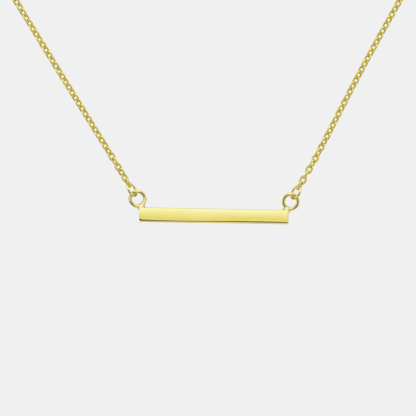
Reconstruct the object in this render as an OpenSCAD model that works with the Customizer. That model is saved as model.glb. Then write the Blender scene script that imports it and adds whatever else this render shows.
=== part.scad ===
// A gold bar necklace in millimetres: a plain polished bar hangs level by an eye at each top corner
// from two strands of fine cable chain, which go round the neck to one clasp at the nape.
// X is the wearer's left, which is to the right as seen from the front, Y goes to the nape and Z up.
// The origin is the middle of the neck, level with the chain at the neck's two sides.

/* [Bar] */
// Length of the bar
bar_length = 30; // [24:0.5:36]
// Height of the bar's face
bar_height = 2.8; // [2:0.1:4]
// Thickness of the bar from face to back
bar_thickness = 1.2; // [1:0.1:1.6]
// Radius of the softened edges of the bar
edge_radius = 0.3; // [0.15:0.05:0.4]
// How far the right end hangs lower, in degrees
bar_tilt = 1.05; // [0:0.05:2]
// How far the bar hangs to the right of the neck's middle
bar_shift = 1.3; // [0:0.1:2]

/* [Eyes] */
// Outside diameter of the eyes soldered on the bar
eye_outside = 3.64; // [3.5:0.02:4]
// Wire of the eyes
eye_wire = 0.72; // [0.64:0.02:0.74]
// Height of the middle of an eye above the bar's top edge
eye_rise = 1.69; // [1.6:0.01:1.8]
// How far the middle of an eye lies beyond the bar's end
eye_reach = 0.37; // [0.2:0.01:0.5]
// Width of the solder under an eye
solder_width = 1.15; // [0.9:0.05:1.4]
// Height of the solder under an eye
solder_height = 0.5; // [0.3:0.05:0.6]

/* [Jump rings] */
// Outside diameter of the jump rings that join the eyes to the strands
jump_outside = 3.15; // [3.1:0.05:3.5]
// Wire of the jump rings
jump_wire = 0.45; // [0.4:0.01:0.46]
// Least play between an eye and its jump ring, which lets the bar swing
eye_play = 0.2; // [0.18:0.01:0.3]
// How far the left jump ring is turned from facing the front, in degrees
left_turn = 62; // [60:0.5:66]
// How far the right jump ring is turned from facing the front, in degrees
right_turn = 59; // [58:0.5:66]

/* [Chain] */
// Length of a chain link
link_length = 2.05; // [2:0.01:2.1]
// Width of a chain link
link_width = 1.46; // [1.42:0.01:1.5]
// Wire of a chain link
link_wire = 0.32; // [0.28:0.01:0.33]
// Least play between pieces that hang in each other
play = 0.15; // [0.14:0.01:0.16]
// Links of each strand that are built one by one, counted from the bar
front_links = 60; // [40:1:62]

/* [Strands] */
// Slope of the left strand from level, in degrees
left_slope = 58.45; // [56:0.05:62]
// Slope of the right strand from level, in degrees
right_slope = 61.55; // [58:0.05:64]
// How far outside its eye's middle the right strand pulls
right_offset = 0.05; // [0:0.01:0.05]
// Height of the straight stretch of the strands above the eyes
straight_rise = 44; // [40:1:50]

/* [Neck] */
// Width of the loop across the neck
neck_width = 104; // [100:1:120]
// Depth of the loop from the strands to the nape
neck_depth = 92; // [84:1:110]
// How far the straight stretch ends below the neck's sides
front_drop = 20; // [15:1:30]
// How far the nape is above the neck's sides
nape_rise = 16; // [10:1:20]

/* [Clasp] */
// Outside diameter of the clasp's ring
clasp_outside = 5.5; // [5.3:0.1:6.5]
// Thickness of the clasp's ring
clasp_wire = 1.1; // [1:0.05:1.2]
// Outside diameter of the clasp's eyelet
eyelet_outside = 2.4; // [2.3:0.1:2.8]
// Wire of the clasp's eyelet
eyelet_wire = 0.5; // [0.45:0.05:0.55]
// Outside diameter of the ring that the clasp catches
catch_outside = 4; // [3.9:0.1:4.4]
// Wire of the ring that the clasp catches
catch_wire = 0.6; // [0.5:0.05:0.65]

/* [Hidden] */
round_sides = 48;
gold = [0.93, 0.80, 0.42];
pale_gold = [0.95, 0.86, 0.52];

// Where the hanging pieces hold each other
LEFT = -1;
RIGHT = 1;
eye_radius = (eye_outside - eye_wire) / 2;
strand_plane = -neck_depth / 2;
bar_centre = [bar_shift, strand_plane, -front_drop - straight_rise - bar_height / 2 - eye_rise];
jump_radius = (jump_outside - jump_wire) / 2;
jump_station = jump_radius - eye_wire / 2 - eye_play - jump_wire / 2;
link_reach = (link_length - link_wire) / 2;
first_station = jump_station + jump_radius - jump_wire / 2 - play - link_wire / 2 + link_reach;
largest_pitch = link_length - 2 * link_wire - play;

// The clasp and its ring lie along the nape, and the catch ring stands half across the clasp
clasp_radius = (clasp_outside - clasp_wire) / 2;
eyelet_radius = (eyelet_outside - eyelet_wire) / 2;
catch_radius = (catch_outside - catch_wire) / 2;
eyelet_overlap = 0.2;
clasp_x = clasp_radius - clasp_wire / 2;
eyelet_x = clasp_x + (clasp_outside + eyelet_outside) / 2 - eyelet_overlap;
catch_x = clasp_x - clasp_radius + clasp_wire / 2 + play + catch_wire / 2 - catch_radius;
catch_turn = 55;

// The first link is turned this far from its jump ring. The next ones nearly face the front or lie
// edge on, settle half way round, and turn again at the nape to meet the clasp
first_turn_step = 70;
facing_links = 3;
facing_turn = 12;
settling_links = 14;
settled_turn = 45;

// Detail of the meshed links and of the plain tubes that stand for the hidden links
end_angles = [-90, -45, 0, 45, 90];
wire_sides = 6;
tube_diameter = link_width - 0.06;
tube_sides = 8;
tube_step = 2.6 * tube_diameter;
curve_steps = 40;
curve_handle = 0.5523;
strand_handle = 20;

function unit(v) = v / norm(v);
function slope_of(side) = side == LEFT ? left_slope : right_slope;
function offset_of(side) = side == LEFT ? 0 : right_offset;
function turn_of(side) = side == LEFT ? left_turn : right_turn;
function pull(side) = [side * cos(slope_of(side)), 0, sin(slope_of(side))];
function outboard(side) = [side * sin(slope_of(side)), 0, -cos(slope_of(side))];

// A point given beside and above the bar's middle, with the bar's tilt
function on_bar(x, z) =
  bar_centre + [x * cos(bar_tilt) + z * sin(bar_tilt), 0, z * cos(bar_tilt) - x * sin(bar_tilt)];
function eye_centre(side) = on_bar(side * (bar_length / 2 + eye_reach), bar_height / 2 + eye_rise);

// The point of an eye's wire that the strand pulls on, which is where its route begins
function hold_point(side) =
  eye_centre(side)
  + offset_of(side) * outboard(side)
  + sqrt(pow(eye_radius, 2) - pow(offset_of(side), 2)) * pull(side);
function straight_length(side) =
  (-front_drop - hold_point(side)[2]) / sin(slope_of(side));
function straight_top(side) = hold_point(side) + straight_length(side) * pull(side);
function neck_side(side) = [side * neck_width / 2, 0, 0];
function nape_end(side) = [
  side == LEFT ? catch_x - catch_radius : eyelet_x + eyelet_radius,
  neck_depth / 2,
  nape_rise
];

// Two curves carry the strand back round the side of the neck and on to the nape
function bezier(p, t) =
  pow(1 - t, 3) * p[0] + 3 * t * pow(1 - t, 2) * p[1] + 3 * t * t * (1 - t) * p[2] + pow(t, 3) * p[3];
function side_rise() = unit([0, neck_depth / 2, nape_rise]);
function front_curve(side) = [
  straight_top(side),
  straight_top(side) + strand_handle * pull(side),
  neck_side(side) - curve_handle * neck_depth / 2 * side_rise(),
  neck_side(side)
];
function back_curve(side) = [
  neck_side(side),
  neck_side(side) + curve_handle * neck_depth / 2 * side_rise(),
  nape_end(side) + [side * curve_handle * neck_width / 2, 0, 0],
  nape_end(side)
];
function route(side) = [
  hold_point(side),
  for (i = [0:curve_steps]) bezier(front_curve(side), i / curve_steps),
  for (i = [1:curve_steps]) bezier(back_curve(side), i / curve_steps)
];

// Which way faces away from the neck at each point of the route
function facing(side) = [
  [0, -1, 0],
  for (i = [0:curve_steps])
    let (a = 90 * i / curve_steps) [side * sin(a), -cos(a), 0],
  for (i = [1:curve_steps])
    let (a = 90 * i / curve_steps) [side * cos(a), sin(a), 0]
];
function running_length(p) = [
  for (i = 0, d = 0; i < len(p); i = i + 1, d = d + norm(p[min(i, len(p) - 1)] - p[i - 1])) d
];
function by_length(lengths, p) = [
  for (axis = [0:2]) [for (i = [0:len(p) - 1]) [lengths[i], p[i][axis]]]
];
function at_length(table, s) = [for (axis = [0:2]) lookup(s, table[axis])];

// A place on a route: its point, its direction, the way along the skin and the way off the skin
function place(side, points, outs, s) =
  let (
    direction = unit(at_length(points, s + link_reach) - at_length(points, s - link_reach)),
    out = at_length(outs, s),
    off_skin = unit(out - (out * direction) * direction)
  )
  [at_length(points, s), direction, side * cross(direction, off_skin), off_skin];

left_lengths = running_length(route(LEFT));
right_lengths = running_length(route(RIGHT));
left_points = by_length(left_lengths, route(LEFT));
right_points = by_length(right_lengths, route(RIGHT));
left_outs = by_length(left_lengths, facing(LEFT));
right_outs = by_length(right_lengths, facing(RIGHT));
function side_place(side, s) =
  side == LEFT ? place(LEFT, left_points, left_outs, s) : place(RIGHT, right_points, right_outs, s);
function route_length(side) =
  side == LEFT ? left_lengths[len(left_lengths) - 1] : right_lengths[len(right_lengths) - 1];

// An odd number of links fills each strand, with at least the play in each pair
function hook_wire(side) = side == LEFT ? catch_wire : eyelet_wire;
function last_station(side) =
  route_length(side) + hook_wire(side) / 2 + play + link_wire / 2 - link_reach;
function link_steps(side) =
  2 * ceil((last_station(side) - first_station) / largest_pitch / 2);
function pitch(side) = (last_station(side) - first_station) / link_steps(side);
function station(side, i) = first_station + i * pitch(side);

// How far the links of a strand are turned from facing away from the neck
function first_base(side) = turn_of(side) + first_turn_step - 90;
function last_base(side) = side == LEFT ? catch_turn : 0;
function base_turn(side, i) = lookup(i, [
  [0, first_base(side)],
  [facing_links, facing_turn],
  [settling_links, settled_turn],
  [link_steps(side) - settling_links, settled_turn],
  [link_steps(side), last_base(side)]
]);
function link_turn(side, i) = base_turn(side, i) + (i % 2 == 0 ? 90 : 0);
function across(place, turn) = cos(turn) * place[2] + sin(turn) * place[3];

// Points of one oval link, ring by ring round its wire
function link_points(centre, along, wide) =
  let (
    r = (link_width - link_wire) / 2,
    half_straight = (link_length - link_width) / 2,
    normal = cross(along, wide)
  )
  [
    for (end = [0, 1])
      for (a = end_angles)
        let (
          sign = 1 - 2 * end,
          radial = sign * (cos(a) * along + sin(a) * wide),
          middle = centre + sign * half_straight * along + r * radial
        )
        for (k = [0:wire_sides - 1])
          let (b = 360 * (k + 0.5) / wire_sides)
          middle + link_wire / 2 * (cos(b) * radial + sin(b) * normal)
  ];
function link_faces(first) =
  let (rings = 2 * len(end_angles))
  [
    for (i = [0:rings - 1])
      for (k = [0:wire_sides - 1])
        let (j = (i + 1) % rings, l = (k + 1) % wire_sides)
        [for (corner = [[i, k], [i, l], [j, l], [j, k]]) first + corner[0] * wire_sides + corner[1]]
  ];

module along_route(place, turn) {
  wide = across(place, turn);
  normal = cross(place[1], wide);
  multmatrix([
    [place[1][0], wide[0], normal[0], place[0][0]],
    [place[1][1], wide[1], normal[1], place[0][1]],
    [place[1][2], wide[2], normal[2], place[0][2]],
    [0, 0, 0, 1]
  ])
    children();
}

module ring(radius, wire) {
  rotate_extrude($fn = round_sides) translate([radius, 0]) circle(d = wire, $fn = round_sides);
}

module rounded_plate(x, y, thickness) {
  linear_extrude(thickness, center = true)
    union() {
      square([x - 2 * edge_radius, y], center = true);
      square([x, y - 2 * edge_radius], center = true);
      for (i = [-1, 1], j = [-1, 1])
        translate([i * (x / 2 - edge_radius), j * (y / 2 - edge_radius)])
          circle(r = edge_radius, $fn = round_sides);
    }
}

// The bar with every edge softened, its face in X and Z
module bar_body() {
  intersection() {
    rotate([90, 0, 0]) rounded_plate(bar_length, bar_height, 2 * bar_thickness);
    rounded_plate(bar_length, bar_thickness, 2 * bar_height);
    rotate([0, 90, 0]) rounded_plate(bar_height, bar_thickness, 2 * bar_length);
  }
}

// The eye on the right end, with the solder that joins it to the bar's corner
module soldered_eye() {
  end = bar_length / 2;
  top = bar_height / 2;
  translate([end + eye_reach, 0, top + eye_rise]) rotate([90, 0, 0]) ring(eye_radius, eye_wire);
  rotate([90, 0, 0])
    linear_extrude(eye_wire * 0.9, center = true)
      polygon([
        [end - solder_width, top - edge_radius],
        [end - edge_radius / 2, top - edge_radius],
        [end, top + solder_height * 0.6],
        [end - solder_width * 0.7, top + solder_height]
      ]);
}

module bar() {
  color(gold)
    translate(bar_centre)
      rotate([0, bar_tilt, 0])
        union() {
          bar_body();
          soldered_eye();
          mirror([1, 0, 0]) soldered_eye();
        }
}

// The jump rings start from the front, where the skin's way off is towards the viewer
module jump_ring(side) {
  start = [hold_point(side) + jump_station * pull(side), pull(side), outboard(side), [0, -1, 0]];
  color(pale_gold) along_route(start, turn_of(side)) ring(jump_radius, jump_wire);
}

module left_jump_ring() {
  jump_ring(LEFT);
}

module right_jump_ring() {
  jump_ring(RIGHT);
}

// The links that show, each a loose piece in the next
module front_chain(side) {
  points_per_link = 2 * len(end_angles) * wire_sides;
  points = [
    for (i = [0:front_links - 1])
      let (here = side_place(side, station(side, i)))
      each link_points(here[0], here[1], across(here, link_turn(side, i)))
  ];
  faces = [for (i = [0:front_links - 1]) each link_faces(i * points_per_link)];
  color(pale_gold) polyhedron(points, faces);
}

module left_chain() {
  front_chain(LEFT);
}

module right_chain() {
  front_chain(RIGHT);
}

// The links behind the neck as one plain tube of their width, a little short of both neighbours
module back_chain(side) {
  start = station(side, front_links - 1) + link_length / 2 + play;
  finish = route_length(side) - hook_wire(side) / 2 - play;
  steps = ceil((finish - start) / tube_step);
  points = [
    for (i = [0:steps])
      let (here = side_place(side, start + (finish - start) * i / steps))
      for (k = [0:tube_sides - 1])
        let (a = 360 * (k + 0.5) / tube_sides)
        here[0] + tube_diameter / 2 * (cos(a) * here[2] * side + sin(a) * here[3])
  ];
  walls = [
    for (i = [0:steps - 1])
      for (k = [0:tube_sides - 1])
        let (l = (k + 1) % tube_sides, a = i * tube_sides, b = a + tube_sides)
        [a + k, a + l, b + l, b + k]
  ];
  first_end = [for (k = [tube_sides - 1:-1:0]) k];
  last_end = [for (k = [0:tube_sides - 1]) steps * tube_sides + k];
  color(pale_gold) polyhedron(points, concat(walls, [first_end, last_end]));
}

module left_back_chain() {
  back_chain(LEFT);
}

module right_back_chain() {
  back_chain(RIGHT);
}

// A plain closed ring with a small eyelet for the right strand
module clasp() {
  color(gold)
    translate([0, neck_depth / 2, nape_rise])
      rotate([90, 0, 0])
        union() {
          translate([clasp_x, 0, 0]) ring(clasp_radius, clasp_wire);
          translate([eyelet_x, 0, 0]) ring(eyelet_radius, eyelet_wire);
        }
}

module catch_ring() {
  color(gold)
    translate([catch_x, neck_depth / 2, nape_rise])
      rotate([90 - catch_turn, 0, 0])
        ring(catch_radius, catch_wire);
}

bar();
left_jump_ring();
right_jump_ring();
left_chain();
right_chain();
left_back_chain();
right_back_chain();
clasp();
catch_ring();
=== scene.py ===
import math
import random

import bmesh
import bpy
from mathutils import Matrix, Vector


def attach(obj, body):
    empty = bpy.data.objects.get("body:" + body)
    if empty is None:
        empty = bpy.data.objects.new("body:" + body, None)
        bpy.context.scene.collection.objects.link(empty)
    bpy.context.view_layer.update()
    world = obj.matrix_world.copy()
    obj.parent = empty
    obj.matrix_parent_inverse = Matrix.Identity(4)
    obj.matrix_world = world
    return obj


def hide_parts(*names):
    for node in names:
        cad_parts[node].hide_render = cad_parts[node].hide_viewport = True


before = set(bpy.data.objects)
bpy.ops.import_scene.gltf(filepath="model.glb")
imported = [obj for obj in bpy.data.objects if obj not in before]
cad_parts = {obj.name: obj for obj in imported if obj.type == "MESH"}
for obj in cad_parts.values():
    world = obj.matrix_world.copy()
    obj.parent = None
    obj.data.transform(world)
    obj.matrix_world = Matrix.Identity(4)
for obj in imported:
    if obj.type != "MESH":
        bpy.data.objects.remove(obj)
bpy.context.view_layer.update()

# Sizes are in metres. They repeat the driving sizes of the part's source.
MM = 0.001
LEFT, RIGHT = -1, 1
SIDES = {"left": LEFT, "right": RIGHT}
FORWARD = Vector((0, -1, 0))
# Points nearer than NEAR lie level with each other, and points nearer than WELD become one
NEAR, WELD = 1e-6, 1e-7

BAR_LENGTH, BAR_HEIGHT, BAR_THICKNESS = 30 * MM, 2.8 * MM, 1.2 * MM
BAR_TILT, BAR_ASIDE = math.radians(1.05), 1.3 * MM
EYE_OUTSIDE, EYE_WIRE = 3.64 * MM, 0.72 * MM
EYE_RISE, EYE_REACH = 1.69 * MM, 0.37 * MM
JUMP_OUTSIDE, JUMP_WIRE = 3.15 * MM, 0.45 * MM
EYE_PLAY, PLAY = 0.2 * MM, 0.15 * MM
JUMP_TURN = {LEFT: 62, RIGHT: 59}
LINK_LENGTH, LINK_WIRE = 2.05 * MM, 0.32 * MM
SHOWN_LINKS = 60
SLOPE = {LEFT: math.radians(58.45), RIGHT: math.radians(61.55)}
PULL_OFFSET = {LEFT: 0, RIGHT: 0.05 * MM}
NECK_WIDTH, NECK_DEPTH = 104 * MM, 92 * MM
FRONT_DROP, STRAIGHT_RISE, NAPE_RISE = 20 * MM, 44 * MM, 16 * MM
CLASP_OUTSIDE, CLASP_WIRE = 5.5 * MM, 1.1 * MM
EYELET_OUTSIDE, EYELET_WIRE, EYELET_SUNK = 2.4 * MM, 0.5 * MM, 0.2 * MM
CATCH_OUTSIDE, CATCH_WIRE = 4 * MM, 0.6 * MM
CATCH_TURN = 55
# The photograph shows heavier links and rings than the solids have room for, and the bar's face a
# little higher than theirs and lower down
SHOWN_LENGTH, SHOWN_WIDTH, SHOWN_WIRE = 2.15 * MM, 1.59 * MM, 0.4 * MM
SHOWN_JUMP_WIRE = 0.5 * MM
SHOWN_HEIGHT, SHOWN_DROP = 2.88 * MM, 0.06 * MM

EYE_RADIUS = (EYE_OUTSIDE - EYE_WIRE) / 2
JUMP_RADIUS = (JUMP_OUTSIDE - JUMP_WIRE) / 2
CLASP_RADIUS = (CLASP_OUTSIDE - CLASP_WIRE) / 2
EYELET_RADIUS = (EYELET_OUTSIDE - EYELET_WIRE) / 2
CATCH_RADIUS = (CATCH_OUTSIDE - CATCH_WIRE) / 2
BAR_CENTRE = Vector((
    BAR_ASIDE, -NECK_DEPTH / 2, -FRONT_DROP - STRAIGHT_RISE - BAR_HEIGHT / 2 - EYE_RISE))
BAR_PLACE = Matrix.Translation(BAR_CENTRE) @ Matrix.Rotation(BAR_TILT, 4, "Y")
JUMP_STATION = JUMP_RADIUS - EYE_WIRE / 2 - EYE_PLAY - JUMP_WIRE / 2
LINK_REACH = (LINK_LENGTH - LINK_WIRE) / 2
FIRST_STATION = JUMP_STATION + JUMP_RADIUS - JUMP_WIRE / 2 - PLAY - LINK_WIRE / 2 + LINK_REACH
CLASP_X = CLASP_RADIUS - CLASP_WIRE / 2
EYELET_X = CLASP_X + (CLASP_OUTSIDE + EYELET_OUTSIDE) / 2 - EYELET_SUNK
CATCH_X = CLASP_X - CLASP_RADIUS + CLASP_WIRE / 2 + PLAY + CATCH_WIRE / 2 - CATCH_RADIUS
CURVE_STEPS, CURVE_HANDLE, STRAND_HANDLE = 40, 0.5523, 20 * MM

# The camera looks straight at the bar from far off, as the photograph does.
VIEW_MIDDLE = Vector((0.136 * MM, -NECK_DEPTH / 2, -65.585 * MM))
VIEW_WIDTH = 83.5 * MM
CAMERA_DISTANCE = 0.8
SENSOR = 36


def set_up_camera():
    camera = bpy.data.objects.new("camera", bpy.data.cameras.new("camera"))
    camera.data.sensor_width = SENSOR
    camera.data.lens = SENSOR * CAMERA_DISTANCE / VIEW_WIDTH
    camera.data.clip_start, camera.data.clip_end = 0.01, 20
    camera.location = VIEW_MIDDLE + Vector((0, -CAMERA_DISTANCE, 0))
    camera.rotation_euler = (math.radians(90), 0, 0)
    bpy.context.scene.collection.objects.link(camera)
    bpy.context.scene.camera = camera


# Small helpers for node trees
def new_node(tree, kind, **settings):
    node = tree.nodes.new(kind)
    for name, value in settings.items():
        setattr(node, name, value)
    return node


def calculate(tree, operation, *inputs, clamp=False):
    node = new_node(tree, "ShaderNodeMath", operation=operation, use_clamp=clamp)
    for socket, value in zip(node.inputs, inputs):
        if isinstance(value, (int, float)):
            socket.default_value = value
        else:
            tree.links.new(value, socket)
    return node.outputs[0]


def spread(tree, value, low, high, to_low=0.0, to_high=1.0, smooth=False):
    node = new_node(tree, "ShaderNodeMapRange")
    node.interpolation_type = "SMOOTHSTEP" if smooth else "LINEAR"
    tree.links.new(value, node.inputs["Value"])
    for name, number in (
            ("From Min", low), ("From Max", high), ("To Min", to_low), ("To Max", to_high)):
        node.inputs[name].default_value = number
    return node.outputs[0]


def ramp(tree, value, stops):
    node = new_node(tree, "ShaderNodeValToRGB")
    elements = node.color_ramp.elements
    while len(elements) > 1:
        elements.remove(elements[-1])
    for i, (position, colour) in enumerate(stops):
        element = elements[0] if i == 0 else elements.new(position)
        element.position = position
        element.color = (*colour, 1)
    tree.links.new(value, node.inputs[0])
    return node.outputs[0]


def mix_colours(tree, factor, first, second):
    node = new_node(tree, "ShaderNodeMix", data_type="RGBA")
    for name, value in (("Factor_Float", factor), ("A_Color", first), ("B_Color", second)):
        socket = next(s for s in node.inputs if s.identifier == name)
        if isinstance(value, (int, float)):
            socket.default_value = value
        elif isinstance(value, tuple):
            socket.default_value = (*value, 1)
        else:
            tree.links.new(value, socket)
    return next(s for s in node.outputs if s.identifier == "Result_Color")


# The studio: a cool tent, a softbox over the camera, the dark lens, and warm shade behind.
# Each row has degrees above the horizon and the light's red, green and blue.
BACKDROP = 0.907
BRIGHTEST = 2.0
FRONT_BY_ELEVATION = [
    (-90, (0.74, 0.82, 1.02)), (-46, (0.80, 0.89, 1.10)), (-38, (0.17, 0.18, 0.18)),
    (-20, (0.17, 0.18, 0.15)), (-16, (0.96, 0.92, 0.65)), (-12, (0.94, 0.91, 0.66)),
    (-8, (0.80, 0.78, 0.62)), (-4, (0.84, 0.84, 0.71)), (1, (0.93, 0.95, 0.95)),
    (6, (1.03, 1.06, 1.22)), (15, (1.15, 1.20, 1.50)), (27, (1.28, 1.31, 1.75)),
    (56, (1.40, 1.38, 1.70)), (90, (0.80, 0.86, 1.00))]
FLANK_BY_ELEVATION = [
    (-90, (0.55, 0.59, 0.68)), (-60, (0.50, 0.53, 0.60)), (-30, (0.46, 0.48, 0.54)),
    (0, (0.82, 0.87, 1.00)), (30, (0.90, 0.96, 1.12)), (60, (0.80, 0.86, 1.00)),
    (90, (0.76, 0.82, 0.95))]
REAR_BY_ELEVATION = [
    (-90, (0.74, 0.76, 0.80)), (-45, (0.52, 0.49, 0.36)), (0, (0.58, 0.54, 0.36)),
    (45, (0.66, 0.63, 0.45)), (90, (0.74, 0.76, 0.82))]
LENS = (0.040, 0.044, 0.042)
# In degrees: the band of light that the bar's face sees is narrow level with the lens and wide
# above it, and the band, the lens and the shade behind blur from the one angle to the other
BAND_RISE, BAND_HALF_WIDTH = (26, 36), (2.6, 38)
BAND_EDGE, LENS_EDGE, SHADE_EDGE = (0, 2), (35, 44), (98, 128)
SOFTBOX_SIZE, SOFTBOX_WATTS, SOFTBOX_PLACE = 1.2, 6, (0, -0.1, 1.4)
FLOOR_RADIUS, FLOOR_DEPTH = 3, 0.32


def by_elevation(tree, elevation, lights):
    stops = [((degrees + 90) / 180, [part / BRIGHTEST for part in light])
             for degrees, light in lights]
    return ramp(tree, spread(tree, elevation, -math.pi / 2, math.pi / 2), stops)


def set_up_studio():
    world = bpy.data.worlds.new("studio")
    bpy.context.scene.world = world
    world.use_nodes = True
    tree = world.node_tree
    tree.nodes.clear()
    direction = new_node(tree, "ShaderNodeTexCoord").outputs["Generated"]
    parts = new_node(tree, "ShaderNodeSeparateXYZ")
    tree.links.new(direction, parts.inputs[0])
    x, y, z = parts.outputs
    elevation = calculate(tree, "ARCSINE", z)
    ahead = calculate(tree, "MULTIPLY", y, -1.0)
    azimuth = calculate(tree, "ABSOLUTE", calculate(tree, "ARCTAN2", x, ahead))
    off_axis = calculate(tree, "ARCCOSINE", ahead)
    half_width = spread(tree, elevation, *map(math.radians, BAND_RISE + BAND_HALF_WIDTH))
    beyond = calculate(tree, "SUBTRACT", azimuth, half_width)

    def share(value, edge):
        return spread(tree, value, *map(math.radians, edge), smooth=True)

    light = mix_colours(
        tree, share(azimuth, SHADE_EDGE), by_elevation(tree, elevation, FLANK_BY_ELEVATION),
        by_elevation(tree, elevation, REAR_BY_ELEVATION))
    lens = tuple(part / BRIGHTEST for part in LENS)
    light = mix_colours(tree, share(off_axis, LENS_EDGE), lens, light)
    light = mix_colours(
        tree, share(beyond, BAND_EDGE), by_elevation(tree, elevation, FRONT_BY_ELEVATION), light)
    lit = new_node(tree, "ShaderNodeBackground")
    tree.links.new(light, lit.inputs["Color"])
    lit.inputs["Strength"].default_value = BRIGHTEST
    plain = new_node(tree, "ShaderNodeBackground")
    plain.inputs["Color"].default_value = (1, 1, 1, 1)
    plain.inputs["Strength"].default_value = BACKDROP
    ray = new_node(tree, "ShaderNodeLightPath").outputs
    chosen = new_node(tree, "ShaderNodeMixShader")
    tree.links.new(
        calculate(tree, "MAXIMUM", ray["Is Camera Ray"], ray["Is Diffuse Ray"]), chosen.inputs[0])
    tree.links.new(lit.outputs[0], chosen.inputs[1])
    tree.links.new(plain.outputs[0], chosen.inputs[2])
    output = new_node(tree, "ShaderNodeOutputWorld")
    tree.links.new(chosen.outputs[0], output.inputs["Surface"])


def set_up_softbox():
    softbox = bpy.data.objects.new("overhead_softbox", bpy.data.lights.new("softbox", "AREA"))
    softbox.data.shape = "DISK"
    softbox.data.size = SOFTBOX_SIZE
    softbox.data.energy = SOFTBOX_WATTS
    softbox.location = SOFTBOX_PLACE
    softbox.visible_camera = False
    softbox.visible_glossy = False
    bpy.context.scene.collection.objects.link(softbox)


def set_up_floor():
    """A floor of pale paper, far below the hanging necklace."""
    bm = bmesh.new()
    bmesh.ops.create_circle(bm, cap_ends=True, segments=96, radius=FLOOR_RADIUS)
    bmesh.ops.translate(bm, vec=(0, 0, -FLOOR_DEPTH), verts=bm.verts)
    floor = make_piece("studio_floor", bm, smooth=False)
    floor.visible_glossy = False
    paper = bpy.data.materials.new("pale floor paper")
    paper.use_nodes = True
    tree = paper.node_tree
    shader = tree.nodes["Principled BSDF"]
    place = new_node(tree, "ShaderNodeTexCoord").outputs["Object"]
    mottle = new_node(tree, "ShaderNodeTexNoise")
    mottle.inputs["Scale"].default_value = 6
    tree.links.new(place, mottle.inputs["Vector"])
    tree.links.new(
        mix_colours(tree, mottle.outputs[0], (0.92, 0.92, 0.92), (0.94, 0.94, 0.94)),
        shader.inputs["Base Color"])
    shader.inputs["Roughness"].default_value = 0.9
    shader.inputs["Specular IOR Level"].default_value = 0.1
    floor.data.materials.append(paper)


# The highlights roll off softly, as they do in the photograph: the light, and how bright it shows
WHITE = 2.5
ROLL_OFF = [(0, 0), (0.85, 0.85), (1.0, 0.905), (1.2, 0.955), (1.5, 0.982), (2.5, 1.0)]
ALL_COLOURS = 3


def set_up_tones():
    settings = bpy.context.scene.view_settings
    settings.view_transform = "Standard"
    settings.look = "None"
    settings.use_curve_mapping = True
    mapping = settings.curve_mapping
    mapping.white_level = (WHITE, WHITE, WHITE)
    curve = mapping.curves[ALL_COLOURS]
    while len(curve.points) > 2:
        curve.points.remove(curve.points[1])
    for i, (light, shown) in enumerate(ROLL_OFF):
        if i == 0:
            point = curve.points[0]
            point.location = (0, 0)
        elif i == len(ROLL_OFF) - 1:
            point = curve.points[-1]
            point.location = (1, 1)
        else:
            point = curve.points.new(light / WHITE, shown)
        point.handle_type = "VECTOR"
    mapping.update()


# Finishes
# Each gold has its own colour, a deeper one for its clouds and a paler one where it is rubbed
BRIGHT_GOLD = ((0.98, 0.84, 0.30), (0.96, 0.79, 0.23), (1.0, 0.88, 0.38))
CHAIN_GOLD = ((0.98, 0.86, 0.21), (0.95, 0.79, 0.14), (1.0, 0.90, 0.28))
# Painted shade that each gold turns to: amber for the shade and reflections between the links and
# inside the eyes, and dark olive for the shade on the far flanks of the solder and the dulled eyes
LINK_SHADE_AMBER = (0.90, 0.64, 0.0)
RING_SHADE_AMBER = (0.74, 0.47, 0.0)
FLANK_SHADE = (0.27, 0.24, 0.09)
# Where each pattern starts and is full, and how much it counts at both: the clouds and the rubbed
# edges in the colour, and handling and the hairlines as shares of the roughness
CLOUDED, RUBBED = (0.35, 0.65, 0, 0.5), (0.52, 0.6, 0, 0.5)
HANDLED, HAIRLINED = (0.4, 0.7, 0, 0.4), (0.3, 0.75, 0.7, 1.4)
CLOUD_SCALE, HAIRLINE_BUMP = 420, 0.4
SATIN_ROUGHNESS, SATIN_SHINE = 0.4, 0.1


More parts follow.
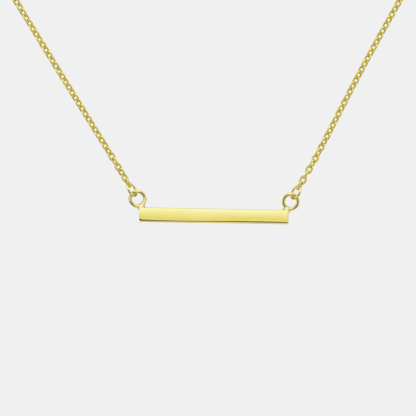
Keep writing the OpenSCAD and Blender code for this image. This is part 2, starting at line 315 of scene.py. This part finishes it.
def gold(name, roughness, hairlines, grain, colours, shade_paint, matte=0.0, satin_spots=False):
    """Polished gold with cloudy tone, fine hairlines and softly rubbed edges.

    hairlines gives the scale of the hairlines along the piece, across it and up it, per metre,
    and grain their depth in metres. matte is the share that no longer shines. The gold deepens
    with a piece's link_tone, is painted over with the shade colour given as far as the piece's
    painted shade attribute says and, with satin_spots, turns matte with its satin.
    """
    material = bpy.data.materials.new(name)
    material.use_nodes = True
    tree = material.node_tree
    shader = tree.nodes["Principled BSDF"]
    shader.inputs["Metallic"].default_value = 1 - matte
    shader.inputs["Specular IOR Level"].default_value = 0.1
    place = new_node(tree, "ShaderNodeTexCoord").outputs["Object"]

    cloud = new_node(tree, "ShaderNodeTexNoise")
    cloud.inputs["Scale"].default_value = CLOUD_SCALE
    cloud.inputs["Detail"].default_value = 3
    tree.links.new(place, cloud.inputs["Vector"])
    own, deeper, paler = colours
    colour = mix_colours(tree, spread(tree, cloud.outputs[0], *CLOUDED), own, deeper)
    link_tone = new_node(tree, "ShaderNodeAttribute", attribute_name="link_tone")
    colour = mix_colours(tree, link_tone.outputs["Fac"], colour, deeper)
    pointed = new_node(tree, "ShaderNodeNewGeometry").outputs["Pointiness"]
    colour = mix_colours(tree, spread(tree, pointed, *RUBBED), colour, paler)
    # Painted shade: the shade colour mixed in as far as the piece's painted shade attribute says
    painted_shade = new_node(tree, "ShaderNodeAttribute", attribute_name="painted_shade")
    colour = mix_colours(tree, painted_shade.outputs["Fac"], colour, shade_paint)

    stretched = new_node(tree, "ShaderNodeMapping")
    stretched.inputs["Scale"].default_value = hairlines
    tree.links.new(place, stretched.inputs["Vector"])
    lines = new_node(tree, "ShaderNodeTexNoise")
    lines.inputs["Scale"].default_value = 1
    lines.inputs["Detail"].default_value = 4
    lines.inputs["Roughness"].default_value = 0.6
    tree.links.new(stretched.outputs[0], lines.inputs["Vector"])

    def roughened(value, low, high, least, most):
        return spread(tree, value, low, high, roughness * least, roughness * most)

    worn = calculate(
        tree, "ADD", roughened(cloud.outputs[0], *HANDLED),
        roughened(lines.outputs[0], *HAIRLINED))
    if satin_spots:
        satin = new_node(tree, "ShaderNodeAttribute", attribute_name="satin").outputs["Fac"]
        worn = calculate(tree, "MULTIPLY_ADD", satin, SATIN_ROUGHNESS, worn)
        tree.links.new(
            spread(tree, satin, 0, 1, 1 - matte, SATIN_SHINE), shader.inputs["Metallic"])
        colour = mix_colours(tree, satin, colour, paler)
    tree.links.new(colour, shader.inputs["Base Color"])
    tree.links.new(worn, shader.inputs["Roughness"])
    bump = new_node(tree, "ShaderNodeBump")
    bump.inputs["Strength"].default_value = HAIRLINE_BUMP
    bump.inputs["Distance"].default_value = grain
    tree.links.new(lines.outputs[0], bump.inputs["Height"])
    tree.links.new(bump.outputs[0], shader.inputs["Normal"])
    return material


# Building
def unit(value):
    """Keeps a value from 0 to 1."""
    return min(max(value, 0), 1)


def level_at(table, x):
    """Reads a table of (x, value) pairs, straight between its rows."""
    for (a, at_a), (b, at_b) in zip(table, table[1:]):
        if x <= b:
            break
    return at_a + (at_b - at_a) * (x - a) / (b - a)


def make_piece(name, bm, smooth=True):
    bmesh.ops.remove_doubles(bm, verts=bm.verts, dist=WELD)
    bmesh.ops.recalc_face_normals(bm, faces=bm.faces)
    mesh = bpy.data.meshes.new(name)
    bm.to_mesh(mesh)
    bm.free()
    if smooth:
        mesh.shade_smooth()
    piece = bpy.data.objects.new(name, mesh)
    bpy.context.scene.collection.objects.link(piece)
    return piece


def settle(piece, body, node, material):
    piece.data.materials.append(material)
    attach(piece, body)
    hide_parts(node)


# Links meet near the strand's middle line, and painted shade deepens the gold to amber there
LINK_SHADE_EDGE, LINK_SHADE_FADE = 0.44 * MM, 0.12 * MM


def add_link(bm, form, place, tone):
    """Sets a copy of the link into bm, with its tone and its painted shade, which is full near the
    middle line where the links meet.
    """
    before = len(bm.verts)
    bm.from_mesh(form)
    bm.verts.ensure_lookup_table()
    added = bm.verts[before:]
    tones, shade_paint = (bm.verts.layers.float[name] for name in ("link_tone", "painted_shade"))
    for vert in added:
        off_axis = math.hypot(vert.co.x, vert.co.z)
        vert[tones] = tone
        # Painted shade: full near the link's middle line, where its neighbours meet it
        vert[shade_paint] = unit((LINK_SHADE_EDGE - off_axis) / LINK_SHADE_FADE)
    bmesh.ops.transform(bm, matrix=place, verts=added)


def wire_ring(bm, radius, wire, place, steps, sides, start=0.0, sweep=math.tau):
    """Round wire bent in a ring in the XY plane of place, whole or in part."""
    across = Matrix.Rotation(start, 4, "Z") @ Matrix.Translation((radius, 0, 0))
    circle = bmesh.ops.create_circle(
        bm, segments=sides, radius=wire / 2, matrix=across @ Matrix.Rotation(math.pi / 2, 4, "X"))
    edges = list({edge for vert in circle["verts"] for edge in vert.link_edges})
    whole = sweep >= math.tau - NEAR
    before = set(bm.verts)
    spun = bmesh.ops.spin(
        bm, geom=circle["verts"] + edges, cent=(0, 0, 0), axis=(0, 0, 1), angle=sweep,
        steps=steps, use_merge=whole)
    if not whole:
        last = [e for e in spun["geom_last"] if isinstance(e, bmesh.types.BMEdge)]
        for loop in (edges, last):
            bmesh.ops.contextual_create(bm, geom=loop)
    made = (set(bm.verts) - before) | {v for v in circle["verts"] if v.is_valid}
    bmesh.ops.transform(bm, matrix=place, verts=list(made))


# A link's wire has few flat sides, and is drawn a little wider to look as thick as round wire
LINK_SIDES, LINK_BENDS, LINK_SWELL = 6, 5, 1.05


def link_form():
    """One oval link in the XY plane, long in Y."""
    bm = bmesh.new()
    radius, half = (SHOWN_WIDTH - SHOWN_WIRE) / 2, (SHOWN_LENGTH - SHOWN_WIDTH) / 2
    circle = bmesh.ops.create_circle(
        bm, segments=LINK_SIDES, radius=SHOWN_WIRE / 2 * LINK_SWELL,
        matrix=Matrix.Translation((radius, -half, 0)) @ Matrix.Rotation(math.pi / 2, 4, "X"))
    edges = list({edge for vert in circle["verts"] for edge in vert.link_edges})
    for sign in (1, -1):
        leg = bmesh.ops.extrude_edge_only(bm, edges=edges)["geom"]
        verts = [v for v in leg if isinstance(v, bmesh.types.BMVert)]
        bmesh.ops.translate(bm, vec=(0, 2 * half * sign, 0), verts=verts)
        last = [e for e in leg if isinstance(e, bmesh.types.BMEdge)]
        ring = [e for e in last if all(v in verts for v in e.verts)]
        spun = bmesh.ops.spin(
            bm, geom=verts + ring, cent=(0, half * sign, 0), axis=(0, 0, 1), angle=math.pi,
            steps=LINK_BENDS)
        edges = [e for e in spun["geom_last"] if isinstance(e, bmesh.types.BMEdge)]
    bmesh.ops.remove_doubles(bm, verts=bm.verts, dist=WELD)
    bmesh.ops.recalc_face_normals(bm, faces=bm.faces)
    form = bpy.data.meshes.new("link_form")
    bm.to_mesh(form)
    bm.free()
    form.shade_smooth()
    return form


# Where the strands run, as in the part's source
def pull(side):
    return Vector((side * math.cos(SLOPE[side]), 0, math.sin(SLOPE[side])))


def outboard(side):
    return Vector((side * math.sin(SLOPE[side]), 0, -math.cos(SLOPE[side])))


def eye_centre(side):
    """The middle of an eye, in the bar's own frame."""
    return Vector((side * (BAR_LENGTH / 2 + EYE_REACH), 0, BAR_HEIGHT / 2 + EYE_RISE))


def hold_point(side):
    """Where the strand's pull meets the middle of the eye's wire."""
    eye = BAR_PLACE @ eye_centre(side)
    offset = PULL_OFFSET[side]
    return (
        eye + offset * outboard(side) + math.sqrt(EYE_RADIUS ** 2 - offset ** 2) * pull(side))


def bezier(p, t):
    return ((1 - t) ** 3 * p[0] + 3 * t * (1 - t) ** 2 * p[1] + 3 * t * t * (1 - t) * p[2]
            + t ** 3 * p[3])


# How far the joining rings are drawn up by the pull, and the first links hang back
RINGS_DRAWN = {LEFT: 0.12 * MM, RIGHT: 0.11 * MM}
LINKS_BACK = 0.03 * MM
# How many links fewer a strand needs because its links are drawn apart
LINKS_SPARED = {LEFT: 0, RIGHT: 1}
# How far a strand strays from its straight line, in one wave that starts quickly, is a little
# stretched toward its upper end and is over before the straight line ends
SWAY = {LEFT: -0.035 * MM, RIGHT: 0.17 * MM}
SWAY_STEPS, SWAY_ONSET, SWAY_PACE, SWAY_STRETCH = 40, 7, 1.07, 0.79
# How the first links are turned about the strand, in degrees, and how the last one is. The links
# between keep the turn of the last of the first ones, but for those that settle at the end.
FIRST_TURNS = {
    LEFT: (27, 42, 45, 38, 30, 36, 42, 44, 45, 46, 47),
    RIGHT: (26, 28, 6, 33, 30, 35, 38, 41, 42, 43, 44)}
LAST_TURN = {LEFT: CATCH_TURN, RIGHT: 90}
SETTLING_LINKS = 14


class Strand:
    """The route of one strand from its eye to the clasp, measured along its length."""

    def __init__(self, side):
        self.side = side
        start = hold_point(side)
        top = start + (-FRONT_DROP - start.z) / math.sin(SLOPE[side]) * pull(side)
        rise = Vector((0, NECK_DEPTH / 2, NAPE_RISE)).normalized()
        neck_side = Vector((side * NECK_WIDTH / 2, 0, 0))
        nape = Vector((
            CATCH_X - CATCH_RADIUS if side == LEFT else EYELET_X + EYELET_RADIUS,
            NECK_DEPTH / 2, NAPE_RISE))
        front = [
            top, top + STRAND_HANDLE * pull(side),
            neck_side - CURVE_HANDLE * NECK_DEPTH / 2 * rise, neck_side]
        back = [
            neck_side, neck_side + CURVE_HANDLE * NECK_DEPTH / 2 * rise,
            nape + Vector((side * CURVE_HANDLE * NECK_WIDTH / 2, 0, 0)), nape]
        self.points, self.outs = [], []
        for i in range(SWAY_STEPS):
            share = i / SWAY_STEPS
            wave = math.sin(math.tau * min(SWAY_PACE * share, 1) ** SWAY_STRETCH)
            wave *= min(1, SWAY_ONSET * share)
            self.points.append(start.lerp(top, share) + SWAY[side] * wave * outboard(side))
            self.outs.append(FORWARD)
        for curve, first, turned in ((front, 0, 0), (back, 1, 90)):
            for i in range(first, CURVE_STEPS + 1):
                a = math.radians(turned + 90 * i / CURVE_STEPS)
                self.points.append(bezier(curve, i / CURVE_STEPS))
                self.outs.append(Vector((side * math.sin(a), -math.cos(a), 0)))
        self.lengths = [0.0]
        for a, b in zip(self.points, self.points[1:]):
            self.lengths.append(self.lengths[-1] + (b - a).length)
        hook = CATCH_WIRE if side == LEFT else EYELET_WIRE
        last = self.lengths[-1] + hook / 2 + PLAY + LINK_WIRE / 2 - LINK_REACH
        room = LINK_LENGTH - 2 * LINK_WIRE - PLAY
        self.first = FIRST_STATION - LINKS_BACK
        self.steps = 2 * math.ceil((last - self.first) / room / 2) - LINKS_SPARED[side]
        self.pitch = (last - self.first) / self.steps

    def at(self, values, s):
        """Reads values, one for each point of the route, at the distance s along it."""
        s = min(max(s, 0), self.lengths[-1])
        i = next(i for i, length in enumerate(self.lengths[1:]) if length >= s)
        share = (s - self.lengths[i]) / (self.lengths[i + 1] - self.lengths[i])
        return values[i].lerp(values[i + 1], share)

    def place(self, i, turn):
        """The place of link i, turned about the strand from facing away from the neck."""
        s = self.first + i * self.pitch
        along = self.at(self.points, s + LINK_REACH) - self.at(self.points, s - LINK_REACH)
        along.normalize()
        out = self.at(self.outs, s)
        off_skin = (out - out.dot(along) * along).normalized()
        return standing(
            self.at(self.points, s), along, self.side * along.cross(off_skin), off_skin, turn)

    def turn(self, i):
        """How far link i is turned: every other link stands across its neighbours."""
        firsts = FIRST_TURNS[self.side]
        marks = list(enumerate(firsts)) + [
            (self.steps - SETTLING_LINKS, firsts[-1]), (self.steps, LAST_TURN[self.side])]
        return level_at(marks, i) + (90 if i % 2 == 0 else 0)


def standing(point, along, beside, off_skin, turn):
    """A place whose Y runs along the strand and whose X is turned from beside to off_skin."""
    a = math.radians(turn)
    wide = math.cos(a) * beside + math.sin(a) * off_skin
    return Matrix.Translation(point) @ Matrix(
        (wide, along, wide.cross(along))).transposed().to_4x4()


# The pieces
# Where the bar's block is cut across, in millimetres from its middle
BAR_CUTS = (-14.985, -14.8, -14.6, -11, -7.5, -4, -0.5, 3, 6.5, 10, 14.3, 14.735, 14.75, 14.765)
# The face bulges forward, its upper edge is evenly rounded, its right end is chamfered, and the
# polishing has rounded its lower edge more in some places than in others: millimetres along the
# bar, and millimetres up
CROWN, TOP_ROUNDING, END_CHAMFER = 0.095 * MM, 0.9 * MM, 0.12 * MM
LOWER_ROUNDING = [
    (-15, 1.14), (-11, 0.82), (-7.5, 0.62), (-0.5, 0.68), (3, 0.98), (8, 1.24), (12, 1.12),
    (15, 0.95)]
# The lower edge runs in a slight wave and hangs lower toward the left, and its ends are worn round
EDGE_WAVE, EDGE_WAVE_LENGTH, EDGE_WAVE_START = 0.012 * MM, 4.1 * MM, 1.0
EDGE_SAG = 0.06 * MM
WORN_LEFT, WORN_RIGHT = Vector((0.08, 0, 0.10)) * MM, Vector((0.08, 0, 0.35)) * MM


def bar_block(bm):
    """The bar's body: a block cut in bands, its face crowned, for the subdivision to round."""
    before = set(bm.verts)
    bmesh.ops.create_cube(bm, size=1)
    block = [v for v in bm.verts if v not in before]
    bmesh.ops.scale(bm, vec=(BAR_LENGTH, BAR_THICKNESS, SHOWN_HEIGHT), verts=block)
    half_length, half, skin = BAR_LENGTH / 2, SHOWN_HEIGHT / 2, BAR_THICKNESS / 2
    columns = [x * MM for x in BAR_CUTS]
    rows = [half - TOP_ROUNDING, -half + TOP_ROUNDING]
    for axis, cuts in ((0, columns), (2, rows), (1, [0])):
        for cut in cuts:
            middle, way = Vector(), Vector()
            middle[axis], way[axis] = cut, 1
            bmesh.ops.bisect_plane(
                bm, geom=bm.verts[:] + bm.edges[:] + bm.faces[:], plane_co=middle, plane_no=way)
    for vert in bm.verts:
        x, y, z = vert.co
        at_right_end = x > half_length - NEAR
        if y < -skin + NEAR:
            vert.co.y += CROWN * (z / half) ** 2
            if abs(z - rows[1]) < NEAR:
                vert.co.z = -half + level_at(LOWER_ROUNDING, x / MM) * MM
            if at_right_end:
                vert.co.y += END_CHAMFER
        if z < -half + NEAR:
            vert.co.z += EDGE_WAVE * math.sin(x / EDGE_WAVE_LENGTH + EDGE_WAVE_START)
            vert.co.z -= EDGE_SAG * (0.5 - x / BAR_LENGTH)
            if at_right_end:
                vert.co += WORN_RIGHT
            elif x < columns[1] + NEAR:
                vert.co += WORN_LEFT
    bmesh.ops.translate(bm, vec=(0, 0, -SHOWN_DROP), verts=bm.verts)


# How far sideways the painted shade on the flanks starts, and how far beyond that it is full
FLANK_SHADE_EDGE, FLANK_SHADE_FADE = 0.5, 0.28


def dull(bm, vert, sideways, amount=1.0):
    """Dulls the gold at vert, from 0 to 1, and where it lies far sideways paints shade on it in
    place of the dulling.
    """
    satin, painted_shade = (bm.verts.layers.float[name] for name in ("satin", "painted_shade"))
    dark = unit((sideways - FLANK_SHADE_EDGE) / FLANK_SHADE_FADE)
    vert[satin] = max(vert[satin], amount * (1 - dark))
    vert[painted_shade] = max(vert[painted_shade], amount * dark)


# The solder's sections from foot to top, in millimetres: how far beyond the bar's end, how high
# above its upper edge, half width and half depth
SOLDER_FOOT = [
    (-0.19, -0.72, 0.20, 0.25), (-0.13, -0.52, 0.33, 0.40), (-0.26, -0.30, 0.58, 0.47),
    (-0.455, -0.12, 0.765, 0.49), (-0.48, -0.02, 0.77, 0.485), (-0.455, 0.08, 0.695, 0.47),
    (-0.45, 0.20, 0.61, 0.445), (-0.475, 0.36, 0.575, 0.405)]
SOLDER = {
    LEFT: SOLDER_FOOT + [
        (-0.535, 0.50, 0.535, 0.365), (-0.615, 0.64, 0.465, 0.30), (-0.725, 0.76, 0.375, 0.20)],
    RIGHT: SOLDER_FOOT + [(-0.53, 0.47, 0.45, 0.33), (-0.58, 0.56, 0.30, 0.22)]}


def solder(bm, side):
    """The solder that runs from the bar's corner up into the eye."""
    loops = []
    for beyond, up, wide, deep in SOLDER[side]:
        centre = Vector((side * (BAR_LENGTH / 2 + beyond * MM), 0, BAR_HEIGHT / 2 + up * MM))
        verts = bmesh.ops.create_circle(bm, segments=20, radius=1, matrix=(
            Matrix.Translation(centre) @ Matrix.Diagonal((wide * MM, deep * MM, 1, 1))))["verts"]
        for vert in verts:
            # Dulled in front, with painted shade on the far flanks of the solder
            dull(bm, vert, abs(vert.co.x - centre.x) / (wide * MM))
        loops.append(list({e for v in verts for e in v.link_edges}))
    for lower, upper in zip(loops, loops[1:]):
        bmesh.ops.bridge_loops(bm, edges=lower + upper)
    for end in (loops[0], loops[-1]):
        bmesh.ops.contextual_create(bm, geom=end)


# Where the heat and the fingers have dulled each eye: from and to, in degrees up from its
# inner side, and how much, with an edge as wide as DULLED_EDGE
DULLED = {
    LEFT: ((285, 346, 1.0), (346, 368, 0.6), (156, 192, 0.5)),
    RIGHT: ((290, 304, 1.0),)}
DULLED_EDGE = 14


def dull_the_eye(bm, side, verts):
    """Dulls the eye made of verts, in the bar's own frame, where DULLED says."""
    for vert in verts:
        inward = BAR_LENGTH / 2 + EYE_REACH - side * vert.co.x
        up = vert.co.z - BAR_HEIGHT / 2 - EYE_RISE
        angle = math.degrees(math.atan2(up, inward))
        sideways = abs(math.hypot(inward, up) - EYE_RADIUS) / (EYE_WIRE / 2)
        for low, high, amount in DULLED[side]:
            past = (angle - low + 180) % 360 - 180
            share = unit(1 + min(past, high - low - past) / DULLED_EDGE)
            # Dulled where DULLED says, with painted shade on the far flanks of the wire
            dull(bm, vert, sideways, share * amount)


def make_bar(material):
    bm = bmesh.new()
    bar_block(bm)
    body = make_piece("bar_body", bm)
    rounding = body.modifiers.new("rounding", "SUBSURF")
    rounding.levels = rounding.render_levels = 3
    dressed = bpy.data.meshes.new_from_object(
        body.evaluated_get(bpy.context.evaluated_depsgraph_get()))
    bpy.data.objects.remove(body)
    bm = bmesh.new()
    bm.from_mesh(dressed)
    for layer in ("satin", "painted_shade"):
        bm.verts.layers.float.new(layer)
    for side in (LEFT, RIGHT):
        before = set(bm.verts)
        place = Matrix.Translation(eye_centre(side)) @ Matrix.Rotation(math.pi / 2, 4, "X")
        wire_ring(bm, EYE_RADIUS, EYE_WIRE, place, steps=72, sides=24)
        dull_the_eye(bm, side, set(bm.verts) - before)
        solder(bm, side)
    bmesh.ops.transform(bm, matrix=BAR_PLACE, verts=bm.verts)
    settle(make_piece("polished_bar", bm), "pendant", "bar", material)


# How deep inside the eye the painted amber shade on a joining ring starts, and how much deeper it
# is full
RING_SHADE_EDGE, RING_SHADE_FADE = 0.36 * MM, 0.25 * MM


def make_jump_ring(name, side, material):
    bm = bmesh.new()
    place = standing(
        hold_point(side) + (JUMP_STATION + RINGS_DRAWN[side]) * pull(side), pull(side),
        outboard(side), FORWARD, JUMP_TURN[side])
    wire_ring(bm, JUMP_RADIUS, SHOWN_JUMP_WIRE, place, steps=64, sides=16)
    shade_paint = bm.verts.layers.float.new("painted_shade")
    for vert in bm.verts:
        inside = (hold_point(side) - vert.co).dot(pull(side))
        # Painted shade: amber on the part of the ring that lies inside the eye
        vert[shade_paint] = unit((inside - RING_SHADE_EDGE) / RING_SHADE_FADE)
    settle(
        make_piece(name + "_joining_ring", bm), "necklace", name + "_jump_ring",
        material)


# Each link leans up to so many degrees and has a tone of its own up to so much
LINK_LEAN, LINK_TONE = 2, 0.5
CHANCES = {LEFT: 11, RIGHT: 12}


def make_strand(name, side, form, material):
    strand = Strand(side)
    chance = random.Random(CHANCES[side])
    for part, node, links in (
            ("_front_links", "_chain", range(SHOWN_LINKS)),
            ("_back_links", "_back_chain", range(SHOWN_LINKS, strand.steps + 1))):
        bm = bmesh.new()
        for layer in ("link_tone", "painted_shade"):
            bm.verts.layers.float.new(layer)
        for i in links:
            place = strand.place(i, strand.turn(i) + chance.uniform(-LINK_LEAN, LINK_LEAN))
            add_link(bm, form, place, chance.uniform(0, LINK_TONE))
        settle(make_piece(name + part, bm), "necklace", name + node, material)


# The clasp's tube and the thinner rod that closes its gap: where each starts and how far it runs,
# in degrees
CLASP_TUBE, CLASP_ROD, CLASP_ROD_SHARE = (235, 295), (165, 75), 0.72


def make_clasp(polished, wire):
    nape = Matrix.Translation((0, NECK_DEPTH / 2, NAPE_RISE))
    flat = Matrix.Rotation(math.pi / 2, 4, "X")
    bm = bmesh.new()
    body = nape @ Matrix.Translation((CLASP_X, 0, 0)) @ flat
    start, sweep = map(math.radians, CLASP_TUBE)
    wire_ring(bm, CLASP_RADIUS, CLASP_WIRE, body, steps=64, sides=24, start=start, sweep=sweep)
    start, sweep = map(math.radians, CLASP_ROD)
    wire_ring(
        bm, CLASP_RADIUS, CLASP_WIRE * CLASP_ROD_SHARE, body, steps=20, sides=20, start=start,
        sweep=sweep)
    eyelet = nape @ Matrix.Translation((EYELET_X, 0, 0)) @ flat
    wire_ring(bm, EYELET_RADIUS, EYELET_WIRE, eyelet, steps=40, sides=14)
    settle(make_piece("ring_clasp", bm), "necklace", "clasp", polished)

    bm = bmesh.new()
    place = standing(
        Vector((CATCH_X, NECK_DEPTH / 2, NAPE_RISE)), Vector((1, 0, 0)), Vector((0, 0, 1)),
        Vector((0, 1, 0)), CATCH_TURN)
    wire_ring(bm, CATCH_RADIUS, CATCH_WIRE, place, steps=56, sides=16)
    settle(make_piece("catch_loop", bm), "necklace", "catch_ring", wire)


set_up_camera()
set_up_studio()
set_up_softbox()
set_up_floor()
set_up_tones()
bar_gold = gold(
    "polished gold bar", 0.055, (260, 9000, 16000), 0.4e-6, BRIGHT_GOLD, FLANK_SHADE,
    satin_spots=True)
ring_gold = gold(
    "polished gold wire", 0.08, (5000, 5000, 5000), 0.6e-6, BRIGHT_GOLD, RING_SHADE_AMBER)
chain_gold = gold(
    "softly worn gold chain", 0.26, (7000, 7000, 7000), 0.8e-6, CHAIN_GOLD, LINK_SHADE_AMBER, matte=0.16)
make_bar(bar_gold)
link = link_form()
for name, side in SIDES.items():
    make_jump_ring(name, side, ring_gold)
    make_strand(name, side, link, chain_gold)
make_clasp(bar_gold, ring_gold)
